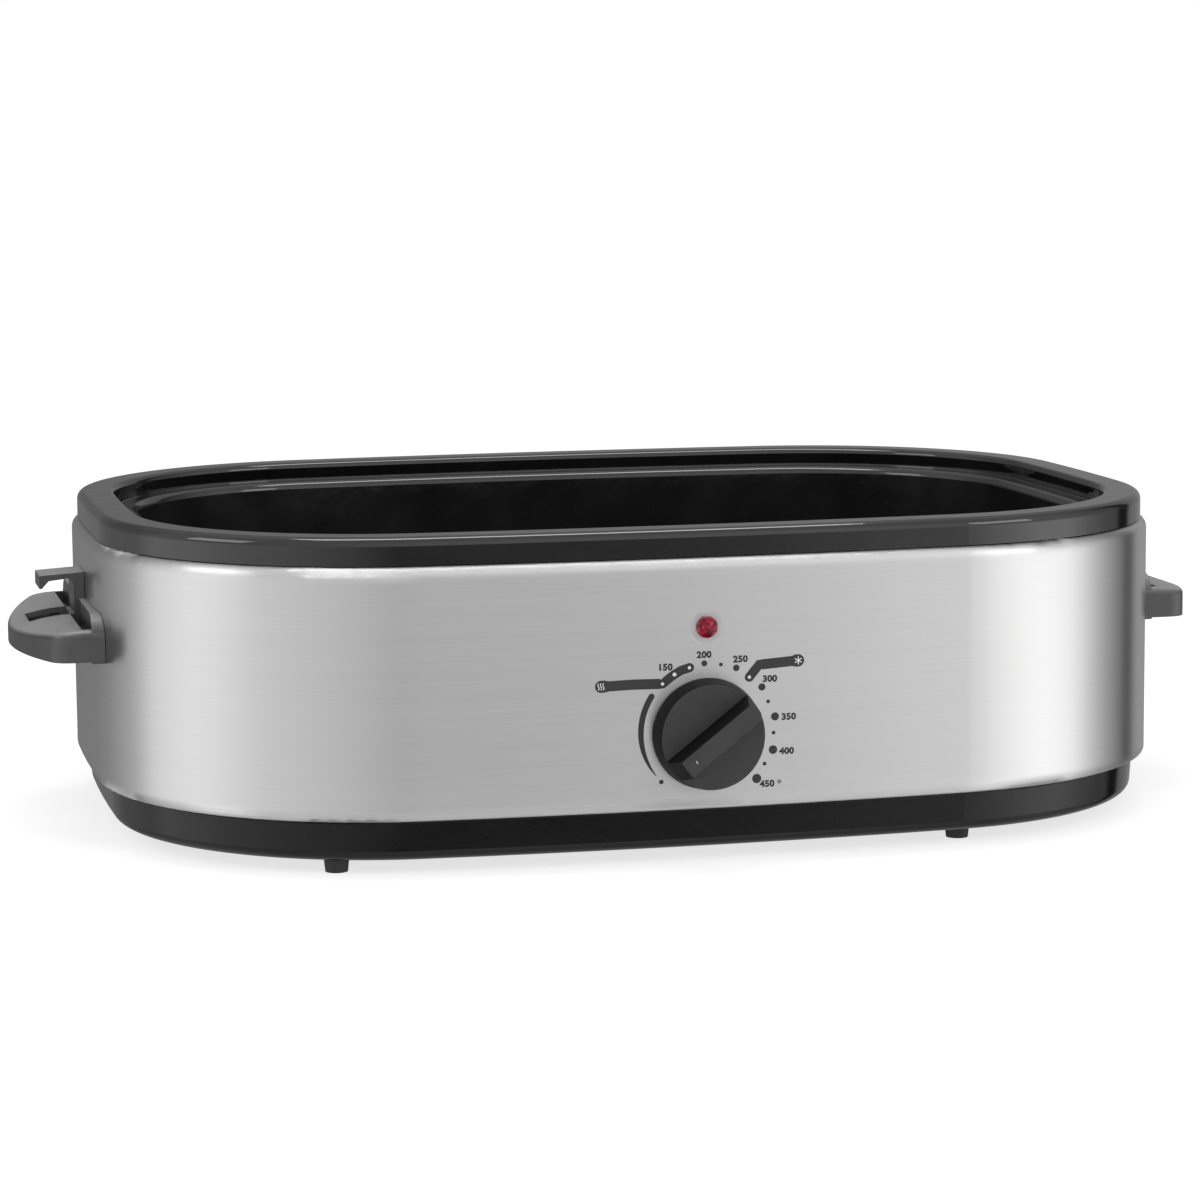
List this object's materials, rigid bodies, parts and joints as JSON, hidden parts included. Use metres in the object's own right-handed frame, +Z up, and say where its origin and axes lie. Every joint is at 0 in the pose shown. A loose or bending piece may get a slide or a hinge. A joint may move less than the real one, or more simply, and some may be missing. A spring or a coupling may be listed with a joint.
{
  "type": "electric roaster oven",
  "caption": "Countertop electric roaster oven: brushed steel wrap, black rim and lift-out pan, low black base, side handles with lid hooks, front dial knob and pilot lamp.",
  "frame": {"origin": "on the surface that the oven stands on, under the middle of its footprint", "axes": "+Z up, +X to the right seen from the front, the knob side faces -Y"},
  "size_m": [0.603, 0.437, 0.1565],
  "materials": {
    "brushed_wrap": "horizontally brushed stainless",
    "black_base": "gloss black",
    "black_enamel": "gloss black enamel",
    "pan_enamel": "gloss black enamel with a fine fleck",
    "bright_tray": "bright",
    "heater_ribbon": "dull",
    "glass_blanket": "woven glass",
    "plated_steel": "zinc plated",
    "foot_rubber": "matte",
    "brass_parts": "bare",
    "copper_tube": "bare copper",
    "switch_body": "heat resistant moulding",
    "knob_plastic": "fine satin charcoal",
    "handle_plastic": "satin dark grey",
    "inlet_plastic": "heat resistant moulding",
    "red_lens": "clear red",
    "lamp_plastic": "white",
    "lead_sleeve": "glass sleeve"
  },
  "bodies": {
    "oven": {"outer_shell": "brushed_wrap", "base_pan": "black_base", "heating_well": "black_enamel", "heat_shield": "bright_tray", "heater_band": "heater_ribbon", "heater_terminals": "plated_steel", "insulation_blanket": "glass_blanket", "blanket_straps": "plated_steel", "foot_front_left": "foot_rubber", "foot_rear_left": "foot_rubber", "foot_front_right": "foot_rubber", "foot_rear_right": "foot_rubber", "foot_screws": "plated_steel", "foot_nuts": "plated_steel", "tie_studs": "plated_steel", "lower_spacers": "plated_steel", "upper_spacers": "plated_steel", "tie_nuts": "plated_steel", "sensor_bulb": "copper_tube", "bulb_clips": "plated_steel", "capillary_tube": "copper_tube", "thermostat_body": "switch_body", "thermostat_nut": "plated_steel", "pilot_lens": "red_lens", "lamp_retainer": "plated_steel", "lamp_holder": "lamp_plastic", "lamp_leads": "lead_sleeve", "left_handle": "handle_plastic", "right_handle": "handle_plastic", "left_backing_plate": "plated_steel", "right_backing_plate": "plated_steel", "handle_screws": "plated_steel", "inlet_housing": "inlet_plastic", "inlet_pins": "plated_steel", "inlet_screws": "plated_steel", "inlet_nuts": "plated_steel", "live_lead": "lead_sleeve", "heater_lead": "lead_sleeve", "thermal_fuse": "plated_steel", "neutral_lead": "lead_sleeve"},
    "knob": {"control_knob": "knob_plastic", "thermostat_shaft": "brass_parts", "knob_clip": "plated_steel"},
    "pan": {"cooking_pan": "pan_enamel"}
  },
  "joints": [
    {"name": "knob_turn", "type": "hinge", "parent": "oven", "child": "knob", "pos_m": [0.002, -0.196, 0.0615], "axis": [0, 1, 0], "range_deg": [-7, 260]},
    {"name": "pan_lift", "type": "slide", "parent": "oven", "child": "pan", "axis": [0, 0, 1], "range_m": [0, 0.16]}
  ]
}
